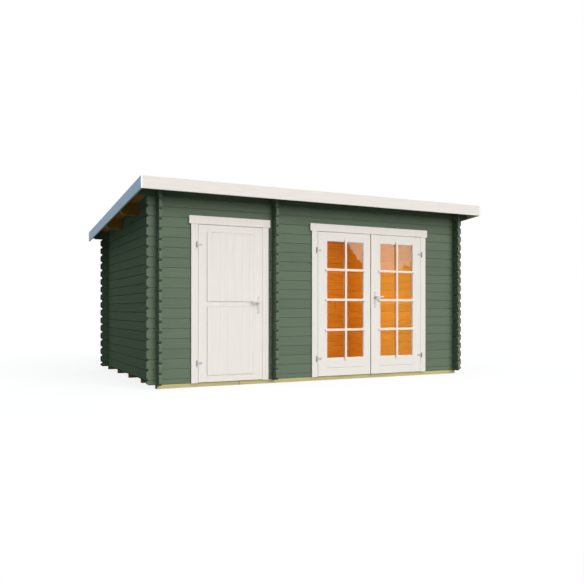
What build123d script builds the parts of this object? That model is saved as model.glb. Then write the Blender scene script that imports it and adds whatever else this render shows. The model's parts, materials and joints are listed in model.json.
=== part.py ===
from build123d import *
import math
import os

# Garden log cabin with a pent roof, high at the front and falling to the back.
# A partition makes a store behind the single door and a room behind the double doors.
# Millimetres. The origin is at the centre of the plan on the ground: +X runs right along
# the front, +Y to the back and +Z up.

# Along the front, from the left wall's outer face to the right wall's outer face
FRONT_LEFT = 472  # wall left of the store doorway
STORE_LEAF_WIDTH = 793
STORE_TO_PARTITION = 138  # store doorway to the partition
PARTITION_TO_ROOM = 575  # partition to the room doorway
LEFT_LEAF_WIDTH = 770
RIGHT_LEAF_WIDTH = 796
FRONT_RIGHT = 597  # wall right of the room doorway

# Log walls
DEPTH = 2790  # over the outer faces of the front and back walls
LOG_THICKNESS = 34
LOG_END = 112  # how far a log runs past the wall that it crosses

# Courses of logs
COURSE = 114
FIRST_ACROSS = 54.5  # first course of the front and back walls, a log sawn in half
FIRST_ALONG = 122.5  # first course of the end walls and the partition
GROOVE = 5  # bevel along a log's long edges, which makes the joints' V
END_BEVEL_RUN = 28  # bevel at the corners of a log's free end, along the log
END_BEVEL_RISE = 25  # and up its height
THIN_END = 14  # a log sawn to the roof stops where it would get thinner than this
LOG_GAP = 0.4  # between one log and the next, and round a lap or slot

# Bearers under the walls and the floor
BEARER_COUNT = 5
BEARER_WIDTH = 60
BEARER_HEIGHT = 45
FRONT_BEARER_LENGTHS = (2515, 289)  # first two lengths of the front one, from the left
FLOOR_THICKNESS = 19
FLOOR_GAP = 6  # from the floor's edge to the logs

# Roof
ROOF_PITCH = 4.52  # degrees
SOFFIT_OVER_DOORS = 397  # doorways' heads to the roof boards' underside, at the front
DECK_THICKNESS = 19
FELT_THICKNESS = 3
SIDE_OVERHANG = 236  # end wall's outer face to the barge board's outer face
EAVES_OVERHANG = 257  # front and back wall's outer face to the fascia's outer face
BARGE_DEPTH = 134  # of the barge boards and the front fascia
BACK_FASCIA_DEPTH = 90
BARGE_THICKNESS = 18
BARGE_ABOVE_DECK = 10  # how far the barge boards and fascias stand above the boards
PURLIN_WIDTH = 45
PURLIN_DEPTH = 147
PURLIN_PLACES = (887, 1805)  # front wall's outer face to the purlins' front faces
PURLIN_BEVEL = 45  # cut off the lower corner of each purlin's end
TOP_LOG_BEVEL = 30  # cut off the lower corner of the two top logs' ends

# Door leaves
LEAF_HEIGHT = 1806
LEAF_THICKNESS = 40
LEAF_GAP = 7  # round each leaf and between the two
JOINERY_GAP = 0.4  # between pieces of one leaf or frame
REBATE = 9  # how far a pane or panel overlaps the stiles and rails
FACE_LIP = 12  # stile or rail in front of a pane

# Frames and casings
JAMB_WIDTH = 28
FRAME_DEPTH = 44
STOP_COVER = 12  # how far a stop stands in behind the leaf
STOP_CLEARANCE = 5
CASING_WIDTH = 77
CASING_THICKNESS = 18
HEAD_BOARD_HEIGHT = 92
HEAD_BOARD_OVERHANG = 25
HEAD_BOARD_THICKNESS = 22

# Store leaf: what shows of the stiles and rails, and boarded panels let in from the front
STORE_HINGE_STILE = 101
STORE_LOCK_STILE = 106
STORE_TOP_RAIL = 80
STORE_LOWER_SPACE = 797  # bottom rail to middle rail
STORE_MIDDLE_RAIL = 54
STORE_BOTTOM_RAIL = 73
PANEL_THICKNESS = 14
PANEL_PROUD = 6  # panel in front of the stiles and rails
PANEL_GROOVE = 4  # round each panel

# Room leaves: stiles, rails and glass
HINGE_STILE = 130
LEFT_MEETING_STILE = 104
RIGHT_MEETING_STILE = 150
ROOM_TOP_RAIL = 111
ROOM_BOTTOM_RAIL = 223
GLASS_THICKNESS = 4
STRIP_WIDTH = 45
STRIP_THICKNESS = 10

# Hinges
HINGE_FROM_BOTTOM = 221  # leaf's lower edge to the lower hinges' centre
HINGE_FROM_TOP = 230  # leaf's upper edge to the upper hinges' centre
HINGE_OFFSET = 10  # pivot outside the casing's inner edge
HINGE_LENGTH = 65
BARREL_RADIUS = 7.5
BARREL_CLEARANCE = 1.5  # barrel in front of the casing
LOWER_KNUCKLE = 20
KNUCKLE_GAP = 0.4
WING_REACH = 62
WING_HEIGHT = 24
WING_THICKNESS = 3
SHANK_WIDTH = 8

# Locks and levers
PLATE_WIDTH = 32
PLATE_HEIGHT = 214
PLATE_THICKNESS = 4
PLATE_FROM_EDGE = 43  # plate's centre line to the leaf's lock edge
ROOM_PLATE_FROM_EDGE = 70
STORE_PLATE_CENTRE = 940
ROOM_PLATE_CENTRE = 1014
LEVER_ABOVE_CENTRE = 38
LEVER_LENGTH = 100
LEVER_REACH = 52  # plate to the lever's outer face
LEVER_THICKNESS = 11
LEVER_NECK_RADIUS = 9
LEVER_ROOT_RADIUS = 12
LEVER_TIP_RADIUS = 8
LEVER_GAP = 0.3

# Planes that everything is set out from
STORE_DOORWAY = STORE_LEAF_WIDTH + 2 * LEAF_GAP
ROOM_DOORWAY = LEFT_LEAF_WIDTH + RIGHT_LEAF_WIDTH + 3 * LEAF_GAP
STORE_LENGTH = FRONT_LEFT + STORE_DOORWAY + STORE_TO_PARTITION
ROOM_LENGTH = PARTITION_TO_ROOM + ROOM_DOORWAY + FRONT_RIGHT
LENGTH = STORE_LENGTH + LOG_THICKNESS + ROOM_LENGTH
LEFT = -LENGTH / 2
RIGHT = LENGTH / 2
PARTITION = LEFT + STORE_LENGTH
FRONT = -DEPTH / 2
BACK = DEPTH / 2
STORE_DOORWAY_START = LEFT + FRONT_LEFT
STORE_DOORWAY_END = STORE_DOORWAY_START + STORE_DOORWAY
ROOM_DOORWAY_END = RIGHT - FRONT_RIGHT
ROOM_DOORWAY_START = ROOM_DOORWAY_END - ROOM_DOORWAY
SIDE_WALLS = (LEFT, PARTITION, RIGHT - LOG_THICKNESS)
CROSS_WALLS = (FRONT, BACK - LOG_THICKNESS)
FLOOR_LEVEL = BEARER_HEIGHT + FLOOR_THICKNESS
CASING_FACE = FRONT - CASING_THICKNESS
LEAF_BACK = CASING_FACE + LEAF_THICKNESS
LEAF_BOTTOM = BEARER_HEIGHT + LEAF_GAP
LEAF_TOP = LEAF_BOTTOM + LEAF_HEIGHT
DOOR_HEAD = LEAF_TOP + LEAF_GAP
HINGE_HEIGHTS = (LEAF_BOTTOM + HINGE_FROM_BOTTOM, LEAF_TOP - HINGE_FROM_TOP)
SLOPE = math.tan(math.radians(ROOF_PITCH))
SOFFIT_HEIGHT = DOOR_HEAD + SOFFIT_OVER_DOORS
BARGE_INNER = RIGHT + SIDE_OVERHANG - BARGE_THICKNESS
PIVOT_Y = CASING_FACE - BARREL_CLEARANCE - BARREL_RADIUS


def soffit(y):
    """Height of the roof boards' underside at y."""
    return SOFFIT_HEIGHT - (y - FRONT) * SLOPE


def soffit_place(z):
    """The y at which the roof boards' underside is z high."""
    return FRONT + (SOFFIT_HEIGHT - z) / SLOPE


def block(x0, x1, y0, y1, z0, z1):
    """A box between two corners."""
    return Pos((x0 + x1) / 2, (y0 + y1) / 2, (z0 + z1) / 2) * Box(x1 - x0, y1 - y0, z1 - z0)


def prism_along_x(points, x0, x1):
    """A (y, z) outline run from x0 to x1."""
    face = Plane.YZ.offset(x0) * make_face(Polyline(*points, close=True))
    return extrude(face, x1 - x0)


def prism_along_y(points, y0, y1):
    """An (x, z) outline run from y0 to y1."""
    face = Plane.XZ.offset(-y1) * make_face(Polyline(*points, close=True))
    return extrude(face, y1 - y0)


def write(node, solids):
    """Write one node's solids to its own file."""
    shapes = [solid for shape in solids for solid in shape.solids()]
    export_step(Compound(shapes) if len(shapes) > 1 else shapes[0], f"parts/{node}.step")


# Log walls

def log_section(start, bottom, top, flat_top):
    """Outline across a log, bevelled along its edges: the V of each joint is two bevels."""
    end = start + LOG_THICKNESS
    upper = 0 if flat_top else GROOVE
    points = [
        (start + GROOVE, bottom),
        (end - GROOVE, bottom),
        (end, bottom + GROOVE),
        (end, top - upper),
        (start, top - upper),
        (start, bottom + GROOVE),
    ]
    if not flat_top:
        points[4:4] = [(end - GROOVE, top), (start + GROOVE, top)]
    return points


def bevelled_end(end, bottom, top, inward):
    """The lower and upper pairs of corners of a log's free end."""
    rise = min(END_BEVEL_RISE, (top - bottom) / 3)
    run = inward * END_BEVEL_RUN
    return [(end + run, bottom), (end, bottom + rise)], [(end, top - rise), (end + run, top)]


def courses(first, top):
    """The (bottom, top) of each course from the bearers up to the roof."""
    spans = [(BEARER_HEIGHT, BEARER_HEIGHT + first)]
    while spans[-1][1] < top - THIN_END:
        spans.append((spans[-1][1], min(spans[-1][1] + COURSE, top)))
    return spans


def last_reaches_roof(spans, top):
    """The same courses, with the last one run up to the roof."""
    return spans[:-1] + [(spans[-1][0], top)]


FRONT_COURSES = last_reaches_roof(courses(FIRST_ACROSS, soffit(FRONT)), soffit(FRONT))
BACK_TOP = soffit(BACK - LOG_THICKNESS)
BACK_COURSES = last_reaches_roof(courses(FIRST_ACROSS, BACK_TOP), BACK_TOP)
SIDE_COURSES = [(low, low + COURSE if low > BEARER_HEIGHT else high)
                for low, high in courses(FIRST_ALONG, soffit(FRONT))]
DOORWAY_TOP = next(high for low, high in FRONT_COURSES if high > DOOR_HEAD + JAMB_WIDTH)


def side_top(y, top):
    """Top of a side log at y: its own, or the roof's where the log above has ended."""
    return top if soffit(y) >= top + THIN_END else soffit(y)


def side_spans(y):
    """The (bottom, top) of each side log at y."""
    return [(low, side_top(y, high)) for low, high in SIDE_COURSES if soffit(y) > low + THIN_END]


def laps(bottom, top, crossing):
    """Heights to cut from a log where another wall's logs cross it.

    The lower log of each pair is notched from its top to take the upper one. Where both
    start on the bearers, each gives half of the shorter one's height.
    """
    cuts = []
    for low, high in crossing:
        lower, upper = max(bottom, low), min(top, high)
        if upper - lower < LOG_GAP + 1:
            continue
        shared_start = abs(bottom - low) <= LOG_GAP
        middle = (lower + upper) / 2
        if bottom + top < low + high:
            cuts.append((middle if shared_start else lower, upper + COURSE / 4))
        elif shared_start:
            cuts.append((lower - COURSE / 4, middle + LOG_GAP))
    return cuts


def cross_log(x0, x1, y, bottom, top, free_start, free_end, roofed=False):
    """A log of the front or back wall, lapped where the side walls cross it."""
    bottom += 0 if bottom == BEARER_HEIGHT else LOG_GAP
    low_start, high_start = bevelled_end(x0, bottom, top, 1)
    low_end, high_end = bevelled_end(x1, bottom, top, -1)
    outline = low_end if free_end else [(x1, bottom)]
    outline = outline + (high_end if free_end else [(x1, top)])
    outline = outline + (high_start[::-1] if free_start else [(x0, top)])
    outline = outline + (low_start[::-1] if free_start else [(x0, bottom)])
    shape = prism_along_x(log_section(y, bottom, top, roofed), x0, x1)
    shape &= prism_along_y(outline, y - 1, y + LOG_THICKNESS + 1)
    for wall in SIDE_WALLS:
        if x0 < wall < x1:
            for low, high in laps(bottom, top, side_spans(y)):
                shape -= block(wall - LOG_GAP, wall + LOG_THICKNESS + LOG_GAP,
                               y - 1, y + LOG_THICKNESS + 1, low, high)
    return shape


def roof_space(x0, x1):
    """The space over the roof boards' underside."""
    y0, y1 = FRONT - 2 * EAVES_OVERHANG, BACK + 2 * EAVES_OVERHANG
    over = SOFFIT_HEIGHT * 1.5
    return prism_along_x([(y0, soffit(y0)), (y1, soffit(y1)), (y1, over), (y0, over)], x0, x1)


def top_log(y, bottom, top):
    """The last log of the front or back wall, run out to the barge boards to carry the roof."""
    x0, x1 = -BARGE_INNER, BARGE_INNER
    shape = cross_log(x0, x1, y, bottom, top, False, False, roofed=True)
    low = bottom + LOG_GAP
    for end, inward in ((x0, 1), (x1, -1)):
        corner = [(end, low - 1), (end + inward * (TOP_LOG_BEVEL + 1), low - 1),
                  (end, low + TOP_LOG_BEVEL)]
        shape -= prism_along_y(corner, y - 1, y + LOG_THICKNESS + 1)
    return shape - roof_space(x0 - 1, x1 + 1)


def purlin_spans():
    """Each purlin's front face, back face and underside."""
    for place in PURLIN_PLACES:
        y = FRONT + place
        yield y, y + PURLIN_WIDTH, soffit(y) - PURLIN_DEPTH


def side_outline(bottom, top):
    """Elevation of one side log, sawn to the roof where it reaches it."""
    y0, y1 = FRONT - LOG_END, BACK + LOG_END
    thin = soffit_place(bottom + THIN_END)
    low_front, high_front = bevelled_end(y0, bottom, min(top, soffit(y0)), 1)
    low_back, high_back = bevelled_end(y1, bottom, min(top, soffit(y1)), -1)
    if thin < y1:
        y1 = thin - LOG_GAP
        low_back = [(y1, bottom)]
    step = soffit_place(top + THIN_END)
    if step >= y1:
        return low_back + high_back + high_front[::-1] + low_front[::-1]
    if step <= y0:
        return low_back + [(y1, soffit(y1)), (y0, soffit(y0))] + low_front[::-1]
    sawn = [(y1, soffit(y1)), (step, soffit(step)), (step, top)]
    return low_back + sawn + high_front[::-1] + low_front[::-1]


def side_log(x, bottom, top):
    """A log of an end wall or the partition, lapped at the corners and slotted for the purlins."""
    bottom += 0 if bottom == BEARER_HEIGHT else LOG_GAP
    outline = side_outline(bottom, top)
    y0, y1 = min(y for y, z in outline), max(y for y, z in outline)
    highest = max(z for y, z in outline)
    shape = prism_along_y(log_section(x, bottom, highest, highest > top), y0, y1)
    shape &= prism_along_x(outline, x - 1, x + LOG_THICKNESS + 1)
    for wall, spans in zip(CROSS_WALLS, (FRONT_COURSES, BACK_COURSES)):
        for low, high in laps(bottom, side_top(wall, top), spans):
            shape -= block(x - 1, x + LOG_THICKNESS + 1,
                           wall - LOG_GAP, wall + LOG_THICKNESS + LOG_GAP, low, high)
    for front, back, under in purlin_spans():
        shape -= block(x - 1, x + LOG_THICKNESS + 1,
                       front - LOG_GAP, back + LOG_GAP, under - LOG_GAP, SOFFIT_HEIGHT + COURSE)
    return shape


def build_walls():
    """All the log walls, split beside and over the doorways."""
    beside = [span for span in FRONT_COURSES if span[1] <= DOORWAY_TOP]
    over = [span for span in FRONT_COURSES[:-1] if span[1] > DOORWAY_TOP]
    stretches = {
        "front_wall_left": (LEFT - LOG_END, STORE_DOORWAY_START - JAMB_WIDTH, True, False),
        "front_wall_middle": (STORE_DOORWAY_END + JAMB_WIDTH, ROOM_DOORWAY_START - JAMB_WIDTH,
                              False, False),
        "front_wall_right": (ROOM_DOORWAY_END + JAMB_WIDTH, RIGHT + LOG_END, False, True),
    }
    for node, (x0, x1, free_start, free_end) in stretches.items():
        write(node, [cross_log(x0, x1, FRONT, low, high, free_start, free_end)
                     for low, high in beside])
    whole = (LEFT - LOG_END, RIGHT + LOG_END)
    write("front_wall_over_doors", [cross_log(*whole, FRONT, low, high, True, True)
                                    for low, high in over])
    write("back_wall", [cross_log(*whole, CROSS_WALLS[1], low, high, True, True)
                        for low, high in BACK_COURSES[:-1]])
    write("front_top_log", [top_log(FRONT, *FRONT_COURSES[-1])])
    write("back_top_log", [top_log(CROSS_WALLS[1], *BACK_COURSES[-1])])
    for node, x in zip(("left_wall", "partition_wall", "right_wall"), SIDE_WALLS):
        write(node, [side_log(x, low, high) for low, high in SIDE_COURSES])


# Bearers and floors

FRONT_BEARER_JOINTS = [LEFT + FRONT_BEARER_LENGTHS[0], LEFT + sum(FRONT_BEARER_LENGTHS)]


def build_base():
    """Bearers on the ground and a floor in each room."""
    spacing = (DEPTH - BEARER_WIDTH) / (BEARER_COUNT - 1)
    for index in range(BEARER_COUNT):
        y = FRONT + index * spacing
        ends = [LEFT] + (FRONT_BEARER_JOINTS if index == 0 else []) + [RIGHT]
        lengths = [block(start + (LOG_GAP if start > LEFT else 0), end, y, y + BEARER_WIDTH,
                         0, BEARER_HEIGHT) for start, end in zip(ends, ends[1:])]
        write(f"bearer_{index + 1}", lengths)
    y0 = FRONT + max(LOG_THICKNESS, FRAME_DEPTH) + FLOOR_GAP
    y1 = BACK - LOG_THICKNESS - FLOOR_GAP
    rooms = zip(("store_floor", "room_floor"), SIDE_WALLS, SIDE_WALLS[1:])
    for node, wall, next_wall in rooms:
        write(node, [block(wall + LOG_THICKNESS + FLOOR_GAP, next_wall - FLOOR_GAP,
                           y0, y1, BEARER_HEIGHT, FLOOR_LEVEL)])


# Roof

def band(y0, y1, over_soffit, depth, x0, x1):
    """A board that follows the roof's slope, from depth below its top to over_soffit."""
    points = [(y, soffit(y) + over_soffit - drop)
              for y, drop in ((y0, depth), (y1, depth), (y1, 0), (y0, 0))]
    return prism_along_x(points, x0, x1)


def build_roof():
    """Purlins, boards, felt, barge boards and fascias."""
    for node, (y0, y1, under) in zip(("front_purlin", "rear_purlin"), purlin_spans()):
        beam = block(-BARGE_INNER, BARGE_INNER, y0, y1, under, soffit(y0))
        for end, inward in ((-BARGE_INNER, 1), (BARGE_INNER, -1)):
            corner = [(end, under - 1), (end + inward * (PURLIN_BEVEL + 1), under - 1),
                      (end, under + PURLIN_BEVEL)]
            beam -= prism_along_y(corner, y0 - 1, y1 + 1)
        write(node, [beam - roof_space(-BARGE_INNER - 1, BARGE_INNER + 1)])
    outer = BARGE_INNER + BARGE_THICKNESS
    y0, y1 = FRONT - EAVES_OVERHANG, BACK + EAVES_OVERHANG
    inner0, inner1 = y0 + BARGE_THICKNESS, y1 - BARGE_THICKNESS
    barge_top = DECK_THICKNESS + BARGE_ABOVE_DECK
    inside = (-BARGE_INNER, BARGE_INNER)
    write("roof_deck", [band(inner0, inner1, DECK_THICKNESS, DECK_THICKNESS, *inside)])
    write("roof_felt", [band(inner0, inner1, DECK_THICKNESS + FELT_THICKNESS, FELT_THICKNESS,
                             *inside)])
    write("front_fascia", [band(y0, inner0, barge_top, BARGE_DEPTH, *inside)])
    write("back_fascia", [band(inner1, y1, barge_top, BACK_FASCIA_DEPTH, *inside)])
    write("left_barge_board", [band(y0, y1, barge_top, BARGE_DEPTH, -outer, -BARGE_INNER)])
    write("right_barge_board", [band(y0, y1, barge_top, BARGE_DEPTH, BARGE_INNER, outer)])


# Door frames and casings

def door_frame(x0, x1):
    """Jambs, head, sill and stops round a doorway that is clear from x0 to x1."""
    back = FRONT + FRAME_DEPTH
    stop_face = LEAF_BACK + STOP_CLEARANCE
    cover = LEAF_GAP + STOP_COVER
    gap = JOINERY_GAP
    jambs = [block(x0 - JAMB_WIDTH + gap, x0, FRONT, back, BEARER_HEIGHT, DOOR_HEAD - gap),
             block(x1, x1 + JAMB_WIDTH - gap, FRONT, back, BEARER_HEIGHT, DOOR_HEAD - gap)]
    head = block(x0 - JAMB_WIDTH + gap, x1 + JAMB_WIDTH - gap, FRONT, back,
                 DOOR_HEAD, DOORWAY_TOP)
    sill = block(x0 + gap, x1 - gap, stop_face, back, BEARER_HEIGHT, FLOOR_LEVEL)
    stops = [block(x0 + gap, x0 + cover, stop_face, back, FLOOR_LEVEL + gap, DOOR_HEAD - gap),
             block(x1 - cover, x1 - gap, stop_face, back, FLOOR_LEVEL + gap, DOOR_HEAD - gap),
             block(x0 + cover + gap, x1 - cover - gap, stop_face, back,
                   DOOR_HEAD - cover, DOOR_HEAD - gap)]
    return jambs + [head, sill] + stops


def casing(x0, x1):
    """Two upright boards and a longer, thicker head board on the front logs."""
    top = DOOR_HEAD - JOINERY_GAP
    uprights = [block(x0 - CASING_WIDTH, x0, CASING_FACE, FRONT, BEARER_HEIGHT, top),
                block(x1, x1 + CASING_WIDTH, CASING_FACE, FRONT, BEARER_HEIGHT, top)]
    reach = CASING_WIDTH + HEAD_BOARD_OVERHANG
    head = block(x0 - reach, x1 + reach, FRONT - HEAD_BOARD_THICKNESS, FRONT,
                 DOOR_HEAD, DOOR_HEAD + HEAD_BOARD_HEIGHT)
    return uprights + [head]


# Door leaves

def leaf(x0, x1, left_stile, right_stile, rails, rebate, depth):
    """Stiles the full height and rails between them, rebated for what they hold.

    rails are (bottom, top) heights, from the lowest up. rebate is how far each rebated space
    reaches over the stiles and rails, and depth its (front, back). Gives the pieces and the
    (x0, x1, z0, z1) of each space.
    """
    gap = JOINERY_GAP
    y0, y1 = CASING_FACE, LEAF_BACK
    inner0, inner1 = x0 + left_stile, x1 - right_stile
    pieces = [block(x0, inner0 - gap, y0, y1, LEAF_BOTTOM, LEAF_TOP),
              block(inner1 + gap, x1, y0, y1, LEAF_BOTTOM, LEAF_TOP)]
    pieces += [block(inner0, inner1, y0, y1, low, high) for low, high in rails]
    spaces = []
    for (_, low), (high, _) in zip(rails, rails[1:]):
        space = (inner0 - rebate, inner1 + rebate, low - rebate, high + rebate)
        spaces.append(space)
        cut = block(space[0], space[1], *depth, space[2], space[3])
        pieces = [piece - cut for piece in pieces]
    return pieces, spaces


def infill(spaces, y0, thickness, gap):
    """A pane or panel in each rebated space, with a gap round it."""
    return [block(x0 + gap, x1 - gap, y0, y0 + thickness, z0 + gap, z1 - gap)
            for x0, x1, z0, z1 in spaces]


def barrel(x, low, high):
    """Round part of a hinge on its pivot line."""
    return Pos(x, PIVOT_Y, (low + high) / 2) * Cylinder(BARREL_RADIUS, high - low)


def hinge_pins(x):
    """Lower knuckles, each on a shank that stands out of the casing."""
    solids = []
    for height in HINGE_HEIGHTS:
        low = height - HINGE_LENGTH / 2
        high = low + LOWER_KNUCKLE - KNUCKLE_GAP
        shank = block(x - SHANK_WIDTH / 2, x + SHANK_WIDTH / 2, PIVOT_Y, CASING_FACE, low, high)
        solids.append(barrel(x, low, high) + shank)
    return solids


def hinge_wings(x, side):
    """Upper knuckles, each with a wing on the leaf's face; side is the leaf's direction."""
    solids = []
    for height in HINGE_HEIGHTS:
        low = height - HINGE_LENGTH / 2 + LOWER_KNUCKLE
        leaf_edge = x + side * (HINGE_OFFSET + LEAF_GAP)
        wing = block(*sorted((x, x + side * WING_REACH)),
                     CASING_FACE - WING_THICKNESS, CASING_FACE - BARREL_CLEARANCE,
                     low, low + WING_HEIGHT)
        pad = block(*sorted((leaf_edge, x + side * WING_REACH)),
                    CASING_FACE - WING_THICKNESS, CASING_FACE, low, low + WING_HEIGHT)
        solids.append(barrel(x, low, height + HINGE_LENGTH / 2) + wing + pad)
    return solids


def lock_plates(x, centre):
    """A plate on each face of the leaf."""
    x0, x1 = x - PLATE_WIDTH / 2, x + PLATE_WIDTH / 2
    z0, z1 = centre - PLATE_HEIGHT / 2, centre + PLATE_HEIGHT / 2
    return [block(x0, x1, CASING_FACE - PLATE_THICKNESS, CASING_FACE, z0, z1),
            block(x0, x1, LEAF_BACK, LEAF_BACK + PLATE_THICKNESS, z0, z1)]


def lever_outline(side):
    """A lever seen from the front, round at its root and its tip; side is its direction."""
    length = LEVER_LENGTH - LEVER_TIP_RADIUS
    tip = Pos(side * length, 0) * Circle(LEVER_TIP_RADIUS)
    return make_hull((Circle(LEVER_ROOT_RADIUS) + tip).edges())


def levers(x, z, side):
    """A lever on a round neck at each face of the leaf, turning on the plate."""
    solids = []
    outside = CASING_FACE - PLATE_THICKNESS - LEVER_GAP
    inside = LEAF_BACK + PLATE_THICKNESS + LEVER_GAP
    for seat, direction in ((outside, -1), (inside, 1)):
        neck_end = seat + direction * (LEVER_REACH - LEVER_THICKNESS)
        neck = Pos(x, (seat + neck_end) / 2, z) * Rot(90, 0, 0) \
            * Cylinder(LEVER_NECK_RADIUS, abs(neck_end - seat))
        arm = extrude(Plane.XZ * lever_outline(side), LEVER_THICKNESS)
        arm_front = neck_end if direction < 0 else neck_end + LEVER_THICKNESS
        solids.append(neck + Pos(x, arm_front, z) * arm)
    return solids


def build_store_door():
    """Single boarded door of the store, hinged on its left."""
    x0, x1 = STORE_DOORWAY_START + LEAF_GAP, STORE_DOORWAY_END - LEAF_GAP
    write("store_door_frame", door_frame(STORE_DOORWAY_START, STORE_DOORWAY_END))
    write("store_door_casing", casing(STORE_DOORWAY_START, STORE_DOORWAY_END))
    rebate = REBATE + PANEL_GROOVE
    seat = CASING_FACE - PANEL_PROUD + PANEL_THICKNESS
    middle = LEAF_BOTTOM + STORE_BOTTOM_RAIL + STORE_LOWER_SPACE
    rails = [(LEAF_BOTTOM, LEAF_BOTTOM + STORE_BOTTOM_RAIL + rebate),
             (middle - rebate, middle + STORE_MIDDLE_RAIL + rebate),
             (LEAF_TOP - STORE_TOP_RAIL - rebate, LEAF_TOP)]
    pieces, spaces = leaf(x0, x1, STORE_HINGE_STILE + rebate, STORE_LOCK_STILE + rebate, rails,
                          rebate, (CASING_FACE - 1, seat))
    write("store_door_leaf", pieces)
    write("store_door_panels", infill(spaces, seat - PANEL_THICKNESS, PANEL_THICKNESS,
                                      PANEL_GROOVE))
    pivot = STORE_DOORWAY_START - HINGE_OFFSET
    write("store_hinge_pins", hinge_pins(pivot))
    write("store_hinge_wings", hinge_wings(pivot, 1))
    lock = x1 - PLATE_FROM_EDGE
    write("store_lock_plates", lock_plates(lock, STORE_PLATE_CENTRE))
    write("store_lever", levers(lock, STORE_PLATE_CENTRE + LEVER_ABOVE_CENTRE, -1))


def build_room_doors():
    """Pair of glazed doors of the room, hinged on their outer edges."""
    left0 = ROOM_DOORWAY_START + LEAF_GAP
    left1 = left0 + LEFT_LEAF_WIDTH
    right0, right1 = left1 + LEAF_GAP, ROOM_DOORWAY_END - LEAF_GAP
    write("room_door_frame", door_frame(ROOM_DOORWAY_START, ROOM_DOORWAY_END))
    write("room_door_casing", casing(ROOM_DOORWAY_START, ROOM_DOORWAY_END))
    rails = [(LEAF_BOTTOM, LEAF_BOTTOM + ROOM_BOTTOM_RAIL), (LEAF_TOP - ROOM_TOP_RAIL, LEAF_TOP)]
    glass_face = CASING_FACE + FACE_LIP
    depth = (glass_face, LEAF_BACK + 1)
    pieces, spaces = leaf(left0, left1, HINGE_STILE, LEFT_MEETING_STILE, rails, REBATE, depth)
    write("left_leaf", pieces)
    write("left_leaf_glass", infill(spaces, glass_face, GLASS_THICKNESS, JOINERY_GAP))
    pieces, spaces = leaf(right0, right1, RIGHT_MEETING_STILE, HINGE_STILE, rails, REBATE, depth)
    write("right_leaf", pieces)
    write("right_leaf_glass", infill(spaces, glass_face, GLASS_THICKNESS, JOINERY_GAP))
    write("cover_strip", [block(right0, right0 + STRIP_WIDTH, CASING_FACE - STRIP_THICKNESS,
                                CASING_FACE, LEAF_BOTTOM, LEAF_TOP)])
    left_pivot = ROOM_DOORWAY_START - HINGE_OFFSET
    right_pivot = ROOM_DOORWAY_END + HINGE_OFFSET
    write("room_hinge_pins", hinge_pins(left_pivot) + hinge_pins(right_pivot))
    write("left_hinge_wings", hinge_wings(left_pivot, 1))
    write("right_hinge_wings", hinge_wings(right_pivot, -1))
    lock = right0 + ROOM_PLATE_FROM_EDGE
    write("room_lock_plates", lock_plates(lock, ROOM_PLATE_CENTRE))
    write("room_lever", levers(lock, ROOM_PLATE_CENTRE + LEVER_ABOVE_CENTRE, 1))


os.makedirs("parts", exist_ok=True)
build_walls()
build_base()
build_roof()
build_store_door()
build_room_doors()
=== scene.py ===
"""Garden log cabin: finishes, trim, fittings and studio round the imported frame."""
import json
import logging
import math
from collections.abc import Sequence
from dataclasses import dataclass
from enum import Enum

import bmesh
import bpy
from mathutils import Matrix, Vector


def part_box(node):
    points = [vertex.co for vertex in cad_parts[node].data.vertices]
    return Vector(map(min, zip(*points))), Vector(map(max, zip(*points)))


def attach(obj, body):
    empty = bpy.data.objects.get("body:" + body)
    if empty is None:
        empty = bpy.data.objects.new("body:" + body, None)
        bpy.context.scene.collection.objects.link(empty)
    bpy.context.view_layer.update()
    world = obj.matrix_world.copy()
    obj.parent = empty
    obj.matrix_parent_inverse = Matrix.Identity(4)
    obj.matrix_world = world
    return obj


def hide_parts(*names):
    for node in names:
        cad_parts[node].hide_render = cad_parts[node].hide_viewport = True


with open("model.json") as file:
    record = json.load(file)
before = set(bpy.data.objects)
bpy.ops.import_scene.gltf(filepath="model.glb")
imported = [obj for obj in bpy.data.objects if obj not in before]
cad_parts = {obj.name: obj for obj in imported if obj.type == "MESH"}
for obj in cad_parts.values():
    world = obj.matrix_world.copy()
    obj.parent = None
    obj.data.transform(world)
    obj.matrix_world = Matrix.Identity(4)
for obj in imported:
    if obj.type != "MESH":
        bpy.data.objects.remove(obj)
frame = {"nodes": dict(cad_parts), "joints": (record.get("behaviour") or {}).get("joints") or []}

LOG = logging.getLogger("log_cabin")
Span = tuple[float, float]
Box = tuple[float, float, float, float, float, float]
Place = Sequence[float]
Tree = bpy.types.NodeTree
Source = bpy.types.Node | bpy.types.NodeSocket
Shape = bmesh.types.BMesh
Piece = bpy.types.Object

COURSE = 0.114  # height of a course of logs
WALL_HALF_LENGTH = 2.105  # over the end walls' outer faces
WALL_HALF_DEPTH = 1.395  # over the front and back walls' outer faces
PAINT_DEPTH = 0.029  # outer part of a log's thickness that the paint covers
ROOF_FALL = math.tan(math.radians(4.52))
LEAF_FACE = -1.413  # outer face of the door leaves and casings
LEAF_BACK = -1.373
LEAF_GAP = 0.007  # between the leaves and their doorway
DOOR_BOARD = 0.092  # width of the store door's boards
DOOR_JOINT = -1.458  # where one of their joints is
HAIR = 0.0002  # keeps two faces that would touch apart

BOARD_SHIFT = 9.0  # how far apart two boards may take their figure from, in metres
FIBRES = (2.2, 70.0)  # wood fibres: how many a metre along the grain and across it
RINGS = (0.55, 9.0)  # swirl of the growth rings, likewise
RINGS_PER_SWIRL = 62.0
RING_WEIGHT = 0.45
KNOT_CELLS = (2.9, 11.0)  # places for a knot: how many a metre along the grain and across it
KNOT_RADIUS = 0.012
KNOT_FREE = 0.35  # share of those places that stay empty


class Axis(Enum):
    """An axis of the shared frame."""

    X = 0
    Y = 1
    Z = 2


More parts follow.
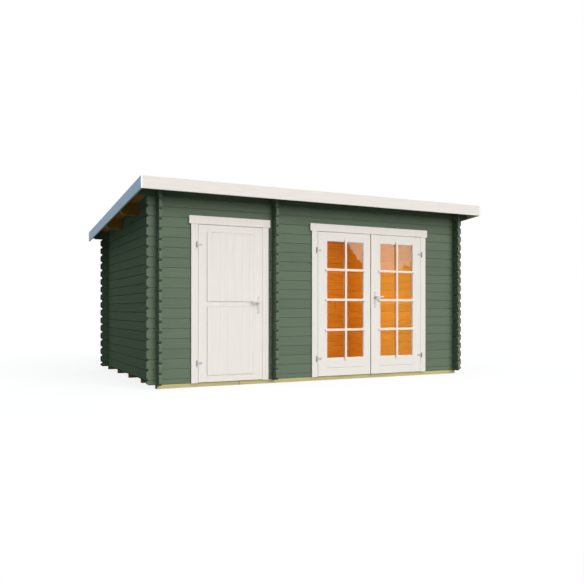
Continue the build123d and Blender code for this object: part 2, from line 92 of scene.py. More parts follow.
@dataclass(frozen=True)
class Lay:
    """How a row of boards or logs lies.

    Attributes:
        along: axis that the grain follows.
        stack: axis along which one board follows the next.
        pitch: width of a board, in metres.
        start: where one of the joints is, on the stack axis.
    """

    along: Axis
    stack: Axis
    pitch: float
    start: float


class Lays(Enum):
    """The ways in which this cabin's timber lies."""

    FRONT_LOGS = Lay(Axis.X, Axis.Z, COURSE, 0.0995)
    SIDE_LOGS = Lay(Axis.Y, Axis.Z, COURSE, 0.1675)
    DOWN_THE_ROOF = Lay(Axis.Y, Axis.X, 0.090, 0.045)
    FLOORBOARDS = Lay(Axis.Y, Axis.X, 0.108, 0.054)
    LENGTHWAYS = Lay(Axis.X, Axis.Y, 0.345, 0.0)
    ACROSS = Lay(Axis.Y, Axis.X, 1.9, 0.95)
    UPRIGHT = Lay(Axis.Z, Axis.X, DOOR_BOARD, DOOR_JOINT)


def linear(colour: str) -> tuple[float, float, float, float]:
    """Turn an sRGB hex colour into linear light.

    Args:
        colour: six hex digits after a hash sign.

    Returns:
        Red, green, blue and an alpha of 1.
    """
    parts = [int(colour[place:place + 2], 16) / 255 for place in (1, 3, 5)]
    red, green, blue = (c / 12.92 if c <= 0.04045 else ((c + 0.055) / 1.055) ** 2.4 for c in parts)
    return red, green, blue, 1.0


def add(tree: Tree, kind: str, inputs: dict | None = None, **settings) -> bpy.types.Node:
    """Add a node with its settings, values and links.

    Args:
        tree: shader or geometry tree.
        kind: the node's type; a shader node's leaves out its leading ShaderNode.
        inputs: for an input's name or number, its value, a hex colour, the output that feeds
            it, or a node whose first output in use does.
        settings: the node's own properties.

    Returns:
        The new node.
    """
    node = tree.nodes.new(kind if "Node" in kind else f"ShaderNode{kind}")
    for name, value in settings.items():
        setattr(node, name, value)
    for name, value in (inputs or {}).items():
        socket = node.inputs[name]
        if isinstance(value, bpy.types.Node):
            value = next(output for output in value.outputs if output.enabled)
        if isinstance(value, bpy.types.NodeSocket):
            tree.links.new(value, socket)
        elif isinstance(value, str):
            socket.default_value = linear(value)[:len(socket.default_value)]
        else:
            socket.default_value = value
    return node


def coats(tree: Tree, base: str | Source, *over: tuple[Source, str | Source]) -> str | Source:
    """Lay colours over one another.

    Args:
        tree: the material's tree.
        base: the lowest colour.
        over: for each further colour, a mask that is 1 where it shows, and the colour.

    Returns:
        The colour of all of them together.
    """
    for mask, colour in over:
        base = add(tree, "Mix", {0: mask, 6: base, 7: colour}, data_type="RGBA")
    return base


def tint(tree: Tree, colour: str | Source, chance: Source, low: float, high: float) -> Source:
    """Make a colour lighter or darker by a mask, such as each board's random number.

    Args:
        tree: the material's tree.
        colour: the colour so far.
        chance: the mask.
        low: factor where the mask is 0.
        high: factor where it is 1.

    Returns:
        The colour times its factor.
    """
    factor = add(tree, "MapRange", {0: chance, 3: low, 4: high})
    return add(tree, "VectorMath", {0: colour, "Scale": factor}, operation="SCALE")


@dataclass
class Wood:
    """The figure of sawn softwood, as sources that a finish mixes its colours by.

    Attributes:
        tree: the material's tree.
        lay: how its boards lie.
        seed: tells one set of boards from another.
        rails: where the grain turns to run along X, as between a leaf's stiles.
        crease: how far a joint's shade reaches onto each board, in metres.
    """

    tree: Tree
    lay: Lays
    seed: float = 0.0
    rails: Span | None = None
    crease: float = 0.0022

    def __post_init__(self) -> None:
        """Build the sources: figure, knot, board (a random number for each) and joint."""
        tree, lay = self.tree, self.lay.value
        place = add(tree, "TexCoord").outputs["Object"]
        self.axes = add(tree, "SeparateXYZ", {0: place}).outputs
        row = add(tree, "Math", {0: self.axes[lay.stack.value], 1: lay.start}, operation="SUBTRACT")
        row = add(tree, "Math", {0: row, 1: lay.pitch}, operation="DIVIDE")
        index = add(tree, "Math", {0: row}, operation="FLOOR")
        index = add(tree, "Math", {0: index, 1: self.seed + 0.5}, operation="ADD")
        chance = add(tree, "TexWhiteNoise", {"W": index}, noise_dimensions="1D").outputs
        self.board = chance["Value"]
        shift = add(tree, "VectorMath", {0: chance["Color"], "Scale": BOARD_SHIFT},
                    operation="SCALE")
        moved = add(tree, "VectorMath", {0: place, 1: shift})
        fibre = self.grain(moved, FIBRES, Detail=3.0, Distortion=0.4)
        swirl = self.grain(moved, RINGS, Detail=1.0)
        rings = add(tree, "Math", {0: swirl, 1: RINGS_PER_SWIRL}, operation="MULTIPLY")
        rings = add(tree, "Math", {0: rings}, operation="SINE")
        rings = add(tree, "MapRange", {0: rings, 1: -1.0, 2: 1.0})
        both = add(tree, "Math", {0: rings, 1: fibre}, operation="MULTIPLY")
        self.figure = add(tree, "Math", {0: both, 1: RING_WEIGHT, 2: fibre},
                          operation="MULTIPLY_ADD")
        self.knot = self.knots(moved)
        middle = add(tree, "Math", {0: row}, operation="FRACT")
        middle = add(tree, "Math", {0: middle, 1: 0.5}, operation="SUBTRACT")
        middle = add(tree, "Math", {0: middle}, operation="ABSOLUTE")
        self.joint = add(tree, "MapRange",
                         {0: middle, 1: 0.5 - self.crease / lay.pitch, 2: 0.5},
                         interpolation_type="SMOOTHSTEP")

    def grain(self, moved: Source, repeats: Span, **settings: float) -> Source:
        """Draw noise out along the grain.

        Args:
            moved: the place, shifted for each board.
            repeats: how often it repeats in a metre, along the grain and across it.
            settings: the noise's other inputs.

        Returns:
            The noise.
        """
        along, across = repeats
        scales = [across] * 3
        scales[self.lay.value.along.value] = along
        if self.rails is not None:
            scales = add(self.tree, "Mix", {0: self.within(self.rails), 4: scales,
                                            5: (along, across, across)}, data_type="VECTOR")
        drawn = add(self.tree, "VectorMath", {0: moved, 1: scales}, operation="MULTIPLY")
        return add(self.tree, "TexNoise", {"Vector": drawn, "Scale": 1.0} | settings)

    def within(self, *spans: Span) -> Source:
        """Mark a part of the piece.

        Args:
            spans: where it lies on X, and on Y and Z where given.

        Returns:
            A mask that is 1 there.
        """
        masks = [add(self.tree, "Math",
                     {0: self.axes[axis], 1: (low + high) / 2, 2: (high - low) / 2},
                     operation="COMPARE") for axis, (low, high) in enumerate(spans)]
        mask = masks[0]
        for other in masks[1:]:
            mask = add(self.tree, "Math", {0: mask, 1: other}, operation="MULTIPLY")
        return mask

    def knots(self, moved: Source) -> Source:
        """Draw round knots up to 24 mm across, which run through the board.

        Args:
            moved: the place, shifted for each board.

        Returns:
            A mask that is 1 in a knot.
        """
        tree, lay = self.tree, self.lay.value
        cells = [0.0] * 3
        cells[lay.along.value], cells[lay.stack.value] = KNOT_CELLS
        back = [1 / repeats if repeats else 0.0 for repeats in cells]
        scaled = add(tree, "VectorMath", {0: moved, 1: cells}, operation="MULTIPLY")
        cell = add(tree, "TexVoronoi", {"Vector": scaled, "Scale": 1.0}).outputs
        apart = add(tree, "VectorMath", {0: scaled, 1: cell["Position"]}, operation="SUBTRACT")
        apart = add(tree, "VectorMath", {0: apart, 1: back}, operation="MULTIPLY")
        far = add(tree, "VectorMath", {0: apart}, operation="LENGTH")
        chance = add(tree, "SeparateColor", {0: cell["Color"]})
        radius = add(tree, "MapRange", {0: chance, 1: KNOT_FREE, 2: 1.0, 4: KNOT_RADIUS})
        left = add(tree, "Math", {0: radius, 1: far}, operation="SUBTRACT")
        return add(tree, "MapRange", {0: left, 1: -0.001, 2: 0.002},
                   interpolation_type="SMOOTHSTEP")


def new_material(name: str) -> tuple[bpy.types.Material, Tree]:
    """Make an empty node material.

    Args:
        name: the material's name.

    Returns:
        The material and its tree.
    """
    material = bpy.data.materials.new(name)
    material.use_nodes = True
    material.node_tree.nodes.clear()
    return material, material.node_tree


def close(tree: Tree, inputs: dict, height: Source | None = None, depth: float = 0.0) -> None:
    """End a tree in a Principled shader.

    Args:
        tree: the material's tree.
        inputs: the shader's values and sources.
        height: bump, from 0 to 1.
        depth: how deep the bump is, in metres.
    """
    if height is not None:
        bump = add(tree, "Bump", {"Height": height, "Distance": depth, "Strength": 1.0})
        inputs = inputs | {"Normal": bump}
    shader = add(tree, "BsdfPrincipled", inputs)
    add(tree, "OutputMaterial", {0: shader})


@dataclass(frozen=True)
class Finish:
    """A finish of this cabin, which draws one material."""

    name: str

    def material(self) -> bpy.types.Material:
        """Build the finish.

        Returns:
            Its material.
        """
        material, tree = new_material(self.name)
        self.draw(tree)
        return material

    def draw(self, tree: Tree) -> None:
        """Draw it on an empty tree, each kind in its own way."""
        raise NotImplementedError


@dataclass(frozen=True)
class Patch:
    """A part of the joinery with a colour of its own, such as a joint, or a painted highlight on a
    board's front end.
    """

    x: Span
    y: Span
    z: Span
    colour: str


@dataclass(frozen=True)
class PaintedJoinery(Finish):
    """Planed softwood with two coats of warm white satin paint: smooth, its grain just felt."""

    lay: Lays
    rails: Span | None = None
    patch: Patch | None = None
    colour: str = "#f2eae5"
    grain_colour: str = "#eae1dc"

    def draw(self, tree: Tree) -> None:
        """Draw the paint and the patch.

        Args:
            tree: the material's tree.
        """
        wood = Wood(tree, self.lay, seed=3.0, rails=self.rails)
        colour = coats(tree, self.colour, (wood.figure, self.grain_colour))
        if self.patch is not None:
            inside = wood.within(self.patch.x, self.patch.y, self.patch.z)
            colour = coats(tree, colour, (inside, self.patch.colour))
        close(tree, {"Base Color": colour, "Roughness": 0.5, "Specular IOR Level": 0.02},
              wood.figure, 0.0003)


@dataclass(frozen=True)
class PaintedLogs(Finish):
    """Spruce logs with grey green paint outside, brushed on along the log, and bare inside.

    The paint is matt and shows the sawn grain as fine lines; inside, the planed wood is amber
    with dark knots.
    """

    lay: Lays
    seed: float
    paint: str = "#6c7a68"
    paint_low: str = "#667262"
    pine: str = "#dd9c36"
    pine_low: str = "#c0721c"
    knot: str = "#4e230b"
    crease: float = 1.0  # how dark the paint is in the joints between the logs: painted shade in their grooves

    def draw(self, tree: Tree) -> None:
        """Draw the paint outside the walls' inner part, and the bare wood inside it.

        Args:
            tree: the material's tree.
        """
        wood = Wood(tree, self.lay, self.seed, crease=0.006)
        bare = wood.within(*((PAINT_DEPTH - half, half - PAINT_DEPTH)
                             for half in (WALL_HALF_LENGTH, WALL_HALF_DEPTH)))
        paint = coats(tree, self.paint, (wood.figure, self.paint_low))
        paint = tint(tree, paint, wood.board, 0.96, 1.04)
        # painted shade: the paint darkens in the joints between the logs
        paint = tint(tree, paint, wood.joint, 1.0, self.crease)
        pine = coats(tree, self.pine, (wood.figure, self.pine_low))
        pine = tint(tree, pine, wood.board, 0.9, 1.06)
        colour = coats(tree, paint, (bare, coats(tree, pine, (wood.knot, self.knot))))
        rough = add(tree, "MapRange", {0: bare, 3: 0.85, 4: 0.7})
        close(tree, {"Base Color": colour, "Roughness": rough, "Specular IOR Level": 0.02},
              wood.figure, 0.0005)


@dataclass(frozen=True)
class BareTimber(Finish):
    """Bare sawn or planed softwood: figure, knots and joints between its boards, with no sheen.

    Pressure treated timber is the same wood, paler and greener, with few knots showing.
    """

    lay: Lays
    light: str
    dark: str
    knot: str
    seed: float
    joints: bool = False
    roughness: float = 0.6
    unshaded_span: Span | None = None  # what lies between its sawn ends, which are painted dark as shade

    def draw(self, tree: Tree) -> None:
        """Draw the wood, the painted shade on its sawn ends, and its open joints.

        Args:
            tree: the material's tree.
        """
        wood = Wood(tree, self.lay, self.seed)
        colour = coats(tree, self.light, (wood.figure, self.dark))
        colour = tint(tree, colour, wood.board, 0.88, 1.08)
        colour = coats(tree, colour, (wood.knot, self.knot))
        height = wood.figure
        # painted shade: outside this span the sawn ends are painted near black, as if in deep shade
        if self.unshaded_span is not None:
            colour = coats(tree, "#201a0d", (wood.within(self.unshaded_span), colour))
        if self.joints:
            colour = coats(tree, colour, (wood.joint, "#2b1608"))
            height = add(tree, "Math", {0: wood.joint, 1: -6.0, 2: wood.figure},
                         operation="MULTIPLY_ADD")
        close(tree, {"Base Color": colour, "Roughness": self.roughness, "Specular IOR Level": 0.04},
              height, 0.0004)


@dataclass(frozen=True)
class MineralFelt(Finish):
    """Bitumen felt rolled in crushed slate: dark grey, dull and gritty, each grain about 2 mm.

    The grit is drawn at 6 mm, because finer would not show.
    """

    def draw(self, tree: Tree) -> None:
        """Draw the grit, with a slow drift in its shade.

        Args:
            tree: the material's tree.
        """
        place = add(tree, "TexCoord").outputs["Object"]
        grit = add(tree, "TexVoronoi", {"Vector": place, "Scale": 170.0}).outputs
        cloud = add(tree, "TexNoise", {"Vector": place, "Scale": 2.2, "Detail": 3.0})
        speck = add(tree, "SeparateColor", {0: grit["Color"]})
        colour = coats(tree, "#383a3b", (speck, "#5c5f60"))
        colour = tint(tree, colour, cloud, 0.8, 1.15)
        close(tree, {"Base Color": colour, "Roughness": 0.95}, grit["Distance"], 0.001)


@dataclass(frozen=True)
class FloatGlass(Finish):
    """Clear float glass 4 mm thick: colourless face on, mirror smooth."""

    def draw(self, tree: Tree) -> None:
        """Draw the pane, which lets light through to the room.

        Args:
            tree: the material's tree.
        """
        place = add(tree, "TexCoord").outputs["Object"]
        drift = add(tree, "TexNoise", {"Vector": place, "Scale": 3.0, "Detail": 0.0})
        bump = add(tree, "Bump", {"Height": drift, "Distance": 0.0002, "Strength": 0.3})
        pane = add(tree, "BsdfPrincipled", {
            "Base Color": "#fbfdfb", "Roughness": 0.0, "IOR": 1.5, "Transmission Weight": 1.0,
            "Normal": bump})
        clear = add(tree, "BsdfTransparent", {0: "#f1f5f2"})
        path = add(tree, "LightPath").outputs
        blend = add(tree, "MixShader", {0: path["Is Shadow Ray"], 1: pane, 2: clear})
        add(tree, "OutputMaterial", {0: blend})


@dataclass(frozen=True)
class Metal(Finish):
    """Zinc plated steel, dull and slightly mottled, or satin anodised aluminium, which is
    smoother: both have a fine brushed line and are weathered, so they shine only in part."""

    colour: str
    mottle: float
    bare: float  # share of the surface that still shines as metal
    roughness: float = 0.5

    def draw(self, tree: Tree) -> None:
        """Draw the mottled colour and the brushed lines.

        Args:
            tree: the material's tree.
        """
        place = add(tree, "TexCoord").outputs["Object"]
        brushed = add(tree, "VectorMath", {0: place, 1: (900.0, 900.0, 60.0)}, operation="MULTIPLY")
        lines = add(tree, "TexNoise", {"Vector": brushed, "Scale": 1.0})
        cloud = add(tree, "TexNoise", {"Vector": place, "Scale": 90.0, "Detail": 2.0})
        colour = tint(tree, self.colour, cloud, 1 - self.mottle, 1 + self.mottle)
        rough = add(tree, "MapRange", {0: lines, 3: self.roughness - 0.06,
                                                 4: self.roughness + 0.08})
        close(tree, {"Base Color": colour, "Metallic": self.bare, "Roughness": rough,
                     "Specular IOR Level": 0.1}, lines, 0.00005)


@dataclass(frozen=True)
class BlackSlot(Finish):
    """The dark inside of a keyhole: unlit, oily brass."""

    def draw(self, tree: Tree) -> None:
        """Draw the dark metal.

        Args:
            tree: the material's tree.
        """
        place = add(tree, "TexCoord").outputs["Object"]
        cloud = add(tree, "TexNoise", {"Vector": place, "Scale": 200.0})
        close(tree, {"Base Color": coats(tree, "#1d1b19", (cloud, "#34302b")), "Roughness": 0.5,
                     "Metallic": 0.6})


class Finishes:
    """Every finish of the cabin, built once."""

    def __init__(self) -> None:
        """Build the materials and keep them by a short name."""
        rebate = 0.009  # how far a pane's seat is cut into its leaf
        groove = 0.004  # round the store door's panels
        spans = {leaf: (low.x + rebate, high.x - rebate) for leaf, (low, high) in (
            (leaf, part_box(f"{leaf}_leaf_glass")) for leaf in ("left", "right"))}
        panel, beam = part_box("store_door_panels"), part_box("bearer_3")
        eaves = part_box("left_barge_board")[0].y
        # painted highlight: the barge boards' front ends are painted whiter than the rest, as a
        # bright rim
        painted_end_highlight = Patch((-3.0, 3.0), (eaves - 0.01, eaves + 0.001), (0.0, 3.0), "#fffefd")
        finishes = {
            # the bearers' ends beyond bearer_3's span get painted shade
            "bearers": BareTimber("pressure treated pine", Lays.LENGTHWAYS, "#d0c494", "#b5a971",
                                  "#8d8052", 7.0, unshaded_span=(beam[0].x + 0.003, beam[1].x - 0.003)),
            "floor": BareTimber("planed pine floorboards", Lays.FLOORBOARDS, "#d4893f", "#b2641f",
                                "#4e230b", 11.0, joints=True, roughness=0.5),
            "roof_boards": BareTimber("planed pine roof boards", Lays.DOWN_THE_ROOF, "#df9a62",
                                      "#bf7a47", "#4a2a14", 17.0, joints=True),
            "purlins": BareTimber("planed pine purlins", Lays.LENGTHWAYS, "#d2934f", "#b2743a",
                                  "#4a2a14", 23.0),
            "felt": MineralFelt("slate surfaced bitumen felt"),
            "white_along": PaintedJoinery("painted joinery, along the front", Lays.LENGTHWAYS),
            "white_across": PaintedJoinery("painted joinery, down the roof", Lays.ACROSS,
                                           patch=painted_end_highlight),
            "white_upright": PaintedJoinery("painted joinery, upright", Lays.UPRIGHT),
            "store_leaf": PaintedJoinery("painted joinery, store leaf", Lays.UPRIGHT,
                                         (panel[0].x - groove, panel[1].x + groove)),
            # painted light: the bars are a warmer cream than the other joinery, standing for the
            # orange glow of the lit room behind the glass
            "bars": PaintedJoinery("painted joinery, glazing bars", Lays.UPRIGHT, colour="#f7ebdf",
                                   grain_colour="#f1e3d6"),
            "glass": FloatGlass("clear float glass"),
            "zinc": Metal("zinc plated steel", "#a9aaad", 0.08, 0.4),
            "aluminium": Metal("satin anodised aluminium", "#cdc8c6", 0.03, 0.2),
            "keyway": BlackSlot("shadowed keyway"),
        }
        for leaf, span in spans.items():
            rail_joint = Patch(span, (-2.0, 0.0), (0.1515, 0.1555), "#b9b3aa")
            finishes[f"{leaf}_leaf"] = PaintedJoinery(f"painted joinery, {leaf} leaf",
                                                      Lays.UPRIGHT, span, rail_joint)
        # painted light: the right wall's bare inside wood is a yellower copy of the same pine,
        # standing for the warmer light on it
        painted_sunlight = {"pine": "#d6942b", "pine_low": "#c17a1b"}
        # the side walls' crease paints shade into the joints between their logs
        for wall, lay, seed, looks in (("front", Lays.FRONT_LOGS, 1.0, {}),
                                       ("back", Lays.FRONT_LOGS, 41.0, {}),
                                       ("left", Lays.SIDE_LOGS, 81.0, {"crease": 0.45}),
                                       ("partition", Lays.SIDE_LOGS, 121.0, {"crease": 0.45}),
                                       ("right", Lays.SIDE_LOGS, 161.0, painted_sunlight | {"crease": 0.45})):
            finishes[f"{wall}_logs"] = PaintedLogs(f"painted spruce logs, {wall}", lay, seed,
                                                   **looks)
        self.by_name = {name: finish.material() for name, finish in finishes.items()}

    def __getitem__(self, name: str) -> bpy.types.Material:
        """Give the material of that short name."""
        return self.by_name[name]


def start_growth(name: str, inputs: dict[str, str]) -> tuple[Tree, bpy.types.Node]:
    """Start a Geometry Nodes tree.

    Args:
        name: the tree's name.
        inputs: for each input's name, its kind of socket.

    Returns:
        The tree, and the node whose outputs are those inputs.
    """
    tree = bpy.data.node_groups.new(name, "GeometryNodeTree")
    for title, kind in inputs.items():
        tree.interface.new_socket(title, in_out="INPUT", socket_type=f"NodeSocket{kind}")
    tree.interface.new_socket("Result", in_out="OUTPUT", socket_type="NodeSocketGeometry")
    return tree, add(tree, "NodeGroupInput")


def end_growth(tree: Tree, copies: Source, finish: Source) -> Tree:
    """End a Geometry Nodes tree: the copies become one real mesh with its finish.

    Args:
        tree: the tree.
        copies: the instances.
        finish: their material.

    Returns:
        The same tree.
    """
    real = add(tree, "GeometryNodeRealizeInstances", {0: copies})
    dressed = add(tree, "GeometryNodeSetMaterial", {"Geometry": real, "Material": finish})
    add(tree, "NodeGroupOutput", {0: dressed})
    return tree


def row_tree() -> Tree:
    """Build the Geometry Nodes that repeat a piece Count times, one Step apart.

    Returns:
        A tree with inputs Count, Step and Finish.
    """
    tree, start = start_growth("row of boards or bars", {
        "Piece": "Geometry", "Count": "Int", "Step": "Vector", "Finish": "Material"})
    given = start.outputs
    line = add(tree, "GeometryNodeMeshLine", {"Count": given["Count"], "Offset": given["Step"]},
               mode="OFFSET")
    copies = add(tree, "GeometryNodeInstanceOnPoints", {"Points": line, "Instance": given["Piece"]})
    return end_growth(tree, copies, given["Finish"])


def heads_tree() -> Tree:
    """Build the Geometry Nodes that put a domed nail or screw head on each vertex.

    Returns:
        A tree with inputs Radius, Rise, Facing and Finish.
    """
    tree, start = start_growth("nail and screw heads", {
        "Places": "Geometry", "Radius": "Float", "Rise": "Float", "Facing": "Vector",
        "Finish": "Material"})
    given = start.outputs
    ball = add(tree, "GeometryNodeMeshUVSphere", {"Segments": 12, "Rings": 6, "Radius": 1.0})
    smooth = add(tree, "GeometryNodeSetShadeSmooth", {"Geometry": ball})
    size = add(tree, "CombineXYZ", {0: given["Radius"], 1: given["Radius"], 2: given["Rise"]})
    dome = add(tree, "GeometryNodeTransform", {"Geometry": smooth, "Scale": size})
    turn = add(tree, "FunctionNodeAlignRotationToVector", {"Vector": given["Facing"]}, axis="Z")
    copies = add(tree, "GeometryNodeInstanceOnPoints", {
        "Points": given["Places"], "Instance": dome, "Rotation": turn})
    return end_growth(tree, copies, given["Finish"])


def new_object(name: str, shape: Shape, finish: bpy.types.Material | None = None) -> Piece:
    """Turn a bmesh into an object at the origin.

    Args:
        name: the object's name.
        shape: its mesh, which is freed.
        finish: its material.

    Returns:
        The object.
    """
    mesh = bpy.data.meshes.new(name)
    shape.to_mesh(mesh)
    shape.free()
    if finish is not None:
        mesh.materials.append(finish)
    piece = bpy.data.objects.new(name, mesh)
    bpy.context.scene.collection.objects.link(piece)
    return piece


def grow(piece: Piece, tree: Tree, **inputs) -> Piece:
    """Run a Geometry Nodes tree on a piece and keep its result as a plain mesh.

    Args:
        piece: the object that the tree starts from.
        tree: the tree.
        inputs: its inputs by name.

    Returns:
        The same object with its new mesh.
    """
    modifier = piece.modifiers.new("grow", "NODES")
    modifier.node_group = tree
    for item in tree.interface.items_tree:
        if item.in_out == "INPUT" and item.name in inputs:
            modifier[item.identifier] = inputs[item.name]
    evaluated = piece.evaluated_get(bpy.context.evaluated_depsgraph_get())
    mesh = bpy.data.meshes.new_from_object(evaluated)
    old = piece.data
    piece.modifiers.remove(modifier)
    piece.data = mesh
    bpy.data.meshes.remove(old)
    return piece


def mount(piece: Piece, body: str, slot: str, *stands_for: str) -> None:
    """Let a finished piece ride on its body.

    Args:
        piece: the piece, at the origin.
        body: body that it moves with.
        slot: the record's material slot; not used.
        stands_for: CAD nodes that it takes the place of.
    """
    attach(piece, body)
    if stands_for:
        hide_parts(*stands_for)
    LOG.info("%s rides on %s, %d faces", piece.name, body, len(piece.data.polygons))


def join(pieces: Sequence[Piece], name: str) -> Piece:
    """Make one object of several that share a body, each with its own finish.

    Args:
        pieces: the objects.
        name: name of the whole.

    Returns:
        The first of them, which now holds them all.
    """
    target = pieces[0]
    with bpy.context.temp_override(active_object=target, selected_editable_objects=list(pieces)):
        bpy.ops.object.join()
    target.name = name
    return target


def block(shape: Shape, box: Box, ease: float = 0.0) -> None:
    """Add a planed block.

    Args:
        shape: mesh that it is added to.
        box: x0, x1, y0, y1, z0, z1.
        ease: how far each edge is taken off.
    """
    x0, x1, y0, y1, z0, z1 = box
    size = Matrix.Diagonal((x1 - x0, y1 - y0, z1 - z0, 1.0))
    place = Matrix.Translation(((x0 + x1) / 2, (y0 + y1) / 2, (z0 + z1) / 2))
    made = bmesh.ops.create_cube(shape, size=1.0, matrix=place @ size)
    if ease:
        edges = list({edge for vertex in made["verts"] for edge in vertex.link_edges})
        bmesh.ops.bevel(shape, geom=edges, offset=ease, segments=2, profile=0.5, affect="EDGES",
                        clamp_overlap=True)


def skin(shape: Shape, lower: Sequence[bmesh.types.BMVert],
         upper: Sequence[bmesh.types.BMVert]) -> None:
    """Close the band between two loops of as many vertices.

    Args:
        shape: mesh that holds them.
        lower: the first loop.
        upper: the second loop.
    """
    for place, corner in enumerate(lower):
        after = (place + 1) % len(lower)
        shape.faces.new((corner, lower[after], upper[after], upper[place]))


def ring(shape: Shape, x: Span, z: Span, profile: Sequence[Span]) -> None:
    """Add a mitred bead round a pane.

    Args:
        shape: mesh that it is added to.
        x: the opening's left and right.
        z: its bottom and top.
        profile: closed section as (how far in from the opening's edge, y) points.
    """
    turns = ((x[0], z[0], 1, 1), (x[1], z[0], -1, 1), (x[1], z[1], -1, -1), (x[0], z[1], 1, -1))
    loops = [[shape.verts.new((corner_x + turn_x * inward, y, corner_z + turn_z * inward))
              for inward, y in profile] for corner_x, corner_z, turn_x, turn_z in turns]
    for loop, following in zip(loops, loops[1:] + loops[:1]):
        skin(shape, loop, following)


def even_normals(shape: Shape) -> None:
    """Point every face outwards."""
    bmesh.ops.recalc_face_normals(shape, faces=shape.faces)


@dataclass
class Workshop:
    """What every sub-assembly is made with: the finishes and the two Geometry Nodes trees."""

    finishes: Finishes
    row: Tree
    head: Tree

    def repeat(self, name: str, shape: Shape, count: int, step: Place, finish: str) -> Piece:
        """Make a row of one shape.

        Args:
            name: the row's name.
            shape: its first member.
            count: how many there are.
            step: from one to the next.
            finish: their finish.

        Returns:
            The row, as one object.
        """
        return grow(new_object(name, shape), self.row, Count=count, Step=step,
                    Finish=self.finishes[finish])

    def heads(self, name: str, places: Sequence[Place], size: Span, facing: Place,
              finish: str = "zinc") -> Piece:
        """Make nail or screw heads.

        Args:
            name: the object's name.
            places: where they are.
            size: a head's radius and how far it stands out.
            facing: which way they face.
            finish: their finish.

        Returns:
            All of them, as one object.
        """
        shape = bmesh.new()
        for place in places:
            shape.verts.new(place)
        return grow(new_object(name, shape), self.head, Radius=size[0], Rise=size[1],
                    Facing=facing, Finish=self.finishes[finish])


@dataclass
class GlazedLeaf:
    """What one glazed leaf carries: the bars over its face and the beads behind its pane."""

    shop: Workshop
    leaf: str
    cover: float = 0.0086  # how far the leaf covers the pane's edges
    bar_width: float = 0.030
    bar_proud: float = 0.013
    bar_overlap: float = 0.030  # onto the stiles and rails
    bar_ease: float = 0.003
    upright_proud: float = 0.0006  # of the cross bars
    bar_pitch: float = 0.378
    lowest_bar: float = 0.631
    bar_rows: int = 3
    back_inset: float = 0.001  # bars' backs, which reach to the pane, inside their fronts
    back_lap: float = 0.003
    bead: tuple[Span, ...] = ((-0.0085, 0.0), (0.0036, 0.0), (0.0036, 0.004), (-0.002, 0.016),
                              (-0.0085, 0.016))  # section: inwards, and back from the pane

    def build(self) -> None:
        """Build the bars and beads."""
        low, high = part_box(f"{self.leaf}_glass")
        x, z = (low.x + self.cover, high.x - self.cover), (low.z + self.cover, high.z - self.cover)
        face, seat, half = LEAF_FACE - self.bar_proud, LEAF_FACE - HAIR, self.bar_width / 2
        middle, reach, behind = (x[0] + x[1]) / 2, self.bar_overlap, half - self.back_inset
        start = LEAF_FACE - self.back_lap
        cross, upright, backs = bmesh.new(), bmesh.new(), bmesh.new()
        block(cross, (x[0] - reach, x[1] + reach, face, seat, self.lowest_bar - half,
                      self.lowest_bar + half), self.bar_ease)
        block(upright, (middle - half, middle + half, face - self.upright_proud, seat,
                        z[0] - reach, z[1] + reach), self.bar_ease)
        block(backs, (middle - behind, middle + behind, start, low.y - HAIR, *z))
        for row in range(self.bar_rows):
            centre = self.lowest_bar + row * self.bar_pitch
            block(backs, (*x, start, low.y - 1.5 * HAIR, centre - behind, centre + behind))
        finishes = self.shop.finishes
        parts = [self.shop.repeat("cross_bars", cross, self.bar_rows, (0.0, 0.0, self.bar_pitch),
                                  "bars"),
                 new_object("upright_bar", upright, finishes["bars"]),
                 new_object("bar_backs", backs, finishes["bars"])]
        mount(join(parts, f"{self.leaf}_glazing_bars"), self.leaf, "white_joinery")
        beads = bmesh.new()
        ring(beads, x, z, [(inward, high.y + 1.5 * HAIR + deep) for inward, deep in self.bead])
        even_normals(beads)
        mount(new_object(f"{self.leaf}_glazing_beads", beads, finishes["white_upright"]), self.leaf,
              "white_joinery")


@dataclass
class StorePanels:
    """Tongued boards let into the store leaf from the front, with a V between one and the next."""

    shop: Workshop
    groove: float = 0.0016
    thickness: float = 0.014
    count: int = 7
    middle_rail: Span = (0.918, 0.980)

    def build(self) -> None:
        """Build the boards over and under the middle rail."""
        low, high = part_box("store_door_panels")
        x0, y0, cut = DOOR_JOINT - DOOR_BOARD, low.y, self.groove
        x1, y1 = x0 + DOOR_BOARD, y0 + self.thickness
        outline = ((x0, y0 + cut), (x0 + cut, y0), (x1 - cut, y0), (x1, y0 + cut),
                   (x1, y1 - cut), (x1 - cut, y1), (x0 + cut, y1), (x0, y1 - cut))
        parts = []
        for bottom, top in ((low.z, self.middle_rail[0]), (self.middle_rail[1], high.z)):
            section = bmesh.new()
            ends = [[section.verts.new((x, y, z)) for x, y in outline] for z in (bottom, top)]
            skin(section, *ends)
            for end in ends:
                section.faces.new(end)
            even_normals(section)
            boards = self.shop.repeat("boards", section, self.count, (DOOR_BOARD, 0.0, 0.0),
                                      "white_upright")
            self.saw(boards, low.x, high.x)
            parts.append(boards)
        mount(join(parts, "store_door_boards"), "store_door", "white_joinery", "store_door_panels")

    @staticmethod
    def saw(piece: Piece, x0: float, x1: float) -> None:
        """Saw a piece off square at both ends.

        Args:
            piece: the piece.
            x0: where its left end is to be.
            x1: where its right end is to be.
        """
        shape = bmesh.new()
        shape.from_mesh(piece.data)
        for place, normal in ((x0, (-1, 0, 0)), (x1, (1, 0, 0))):
            whole = shape.verts[:] + shape.edges[:] + shape.faces[:]
            cut = bmesh.ops.bisect_plane(shape, geom=whole, plane_co=(place, 0, 0),
                                         plane_no=normal, clear_outer=True)
            rim = [item for item in cut["geom_cut"] if isinstance(item, bmesh.types.BMEdge)]
            bmesh.ops.holes_fill(shape, edges=rim, sides=0)
        shape.to_mesh(piece.data)
        shape.free()


